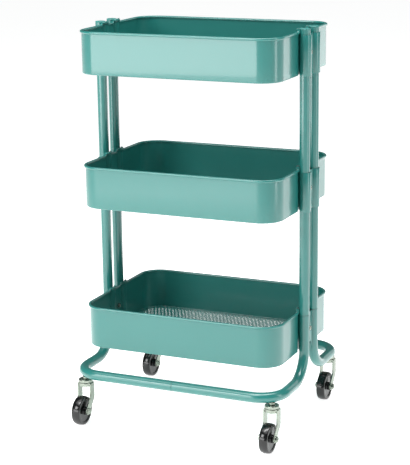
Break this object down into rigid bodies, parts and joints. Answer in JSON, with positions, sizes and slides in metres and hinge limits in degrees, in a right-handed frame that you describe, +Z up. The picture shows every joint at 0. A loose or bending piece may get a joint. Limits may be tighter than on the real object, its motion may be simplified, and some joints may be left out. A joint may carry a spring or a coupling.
{
  "type": "rolling utility cart",
  "caption": "Rolling utility cart: deep steel trays with rolled rims and mesh floors, hung between pairs of tubes on a bent-tube base with swivel casters.",
  "frame": {"origin": "on the floor, at the centre of the cart's outline seen from above", "axes": "+X along the long side to the right, +Y to the rear, +Z up; every caster trails to the front, -Y"},
  "size_m": [0.45, 0.3883, 0.78],
  "materials": {
    "teal_powder_coat": "glossy powder coat",
    "zinc_plated_steel": "zinc plated, slightly dull",
    "bearing_steel": "polished",
    "bare_steel": "plain drawn steel",
    "cap_plastic": "moulded to match the paint",
    "spacer_plastic": "moulded",
    "bush_plastic": "moulded acetal",
    "wheel_nylon": "glossy black"
  },
  "bodies": {
    "frame": {"top_tray": "teal_powder_coat", "top_tray_mesh": "teal_powder_coat", "bottom_tray": "teal_powder_coat", "bottom_tray_mesh": "teal_powder_coat", "top_bracket_left": "teal_powder_coat", "top_bracket_right": "teal_powder_coat", "fixed_tray_screws": "zinc_plated_steel", "fixed_tray_nuts": "zinc_plated_steel", "fixed_tray_spacers": "spacer_plastic", "tube_couplers": "bare_steel", "rail_sleeves": "bare_steel", "tube_caps": "cap_plastic", "web_plate_left": "teal_powder_coat", "web_plate_right": "teal_powder_coat", "lower_tube_front_left": "teal_powder_coat", "upper_tube_front_left": "teal_powder_coat", "front_left_caster_stem": "zinc_plated_steel", "front_left_caster_balls": "bearing_steel", "lower_tube_front_right": "teal_powder_coat", "upper_tube_front_right": "teal_powder_coat", "front_right_caster_stem": "zinc_plated_steel", "front_right_caster_balls": "bearing_steel", "lower_tube_rear_left": "teal_powder_coat", "upper_tube_rear_left": "teal_powder_coat", "rear_left_caster_stem": "zinc_plated_steel", "rear_left_caster_balls": "bearing_steel", "lower_tube_rear_right": "teal_powder_coat", "upper_tube_rear_right": "teal_powder_coat", "rear_right_caster_stem": "zinc_plated_steel", "rear_right_caster_balls": "bearing_steel"},
    "sliding_tray": {"middle_tray": "teal_powder_coat", "middle_tray_mesh": "teal_powder_coat", "middle_bracket_left": "teal_powder_coat", "middle_bracket_right": "teal_powder_coat", "middle_tray_screws": "zinc_plated_steel", "middle_tray_nuts": "zinc_plated_steel", "middle_tray_spacers": "spacer_plastic"},
    "swivel_front_left": {"front_left_caster_fork": "zinc_plated_steel", "front_left_axle_bolt": "zinc_plated_steel", "front_left_axle_nut": "zinc_plated_steel"},
    "roller_front_left": {"front_left_wheel": "wheel_nylon", "front_left_wheel_bush": "bush_plastic"},
    "swivel_front_right": {"front_right_caster_fork": "zinc_plated_steel", "front_right_axle_bolt": "zinc_plated_steel", "front_right_axle_nut": "zinc_plated_steel"},
    "roller_front_right": {"front_right_wheel": "wheel_nylon", "front_right_wheel_bush": "bush_plastic"},
    "swivel_rear_left": {"rear_left_caster_fork": "zinc_plated_steel", "rear_left_axle_bolt": "zinc_plated_steel", "rear_left_axle_nut": "zinc_plated_steel"},
    "roller_rear_left": {"rear_left_wheel": "wheel_nylon", "rear_left_wheel_bush": "bush_plastic"},
    "swivel_rear_right": {"rear_right_caster_fork": "zinc_plated_steel", "rear_right_axle_bolt": "zinc_plated_steel", "rear_right_axle_nut": "zinc_plated_steel"},
    "roller_rear_right": {"rear_right_wheel": "wheel_nylon", "rear_right_wheel_bush": "bush_plastic"}
  },
  "joints": [
    {"name": "middle_tray_slide", "type": "slide", "parent": "frame", "child": "sliding_tray", "axis": [0, 0, 1], "range_m": [-0.185, 0.165]},
    {"name": "front_left_swivel", "type": "hinge", "parent": "frame", "child": "swivel_front_left", "pos_m": [-0.19806, -0.14518, 0.085], "axis": [0, 0, 1], "continuous": true},
    {"name": "front_left_roll", "type": "hinge", "parent": "swivel_front_left", "child": "roller_front_left", "pos_m": [-0.19806, -0.16518, 0.029], "axis": [1, 0, 0], "continuous": true},
    {"name": "front_right_swivel", "type": "hinge", "parent": "frame", "child": "swivel_front_right", "pos_m": [0.19806, -0.14518, 0.085], "axis": [0, 0, 1], "continuous": true},
    {"name": "front_right_roll", "type": "hinge", "parent": "swivel_front_right", "child": "roller_front_right", "pos_m": [0.19806, -0.16518, 0.029], "axis": [1, 0, 0], "continuous": true},
    {"name": "rear_left_swivel", "type": "hinge", "parent": "frame", "child": "swivel_rear_left", "pos_m": [-0.19806, 0.16953, 0.085], "axis": [0, 0, 1], "continuous": true},
    {"name": "rear_left_roll", "type": "hinge", "parent": "swivel_rear_left", "child": "roller_rear_left", "pos_m": [-0.19806, 0.14953, 0.029], "axis": [1, 0, 0], "continuous": true},
    {"name": "rear_right_swivel", "type": "hinge", "parent": "frame", "child": "swivel_rear_right", "pos_m": [0.19806, 0.16953, 0.085], "axis": [0, 0, 1], "continuous": true},
    {"name": "rear_right_roll", "type": "hinge", "parent": "swivel_rear_right", "child": "roller_rear_right", "pos_m": [0.19806, 0.14953, 0.029], "axis": [1, 0, 0], "continuous": true}
  ]
}
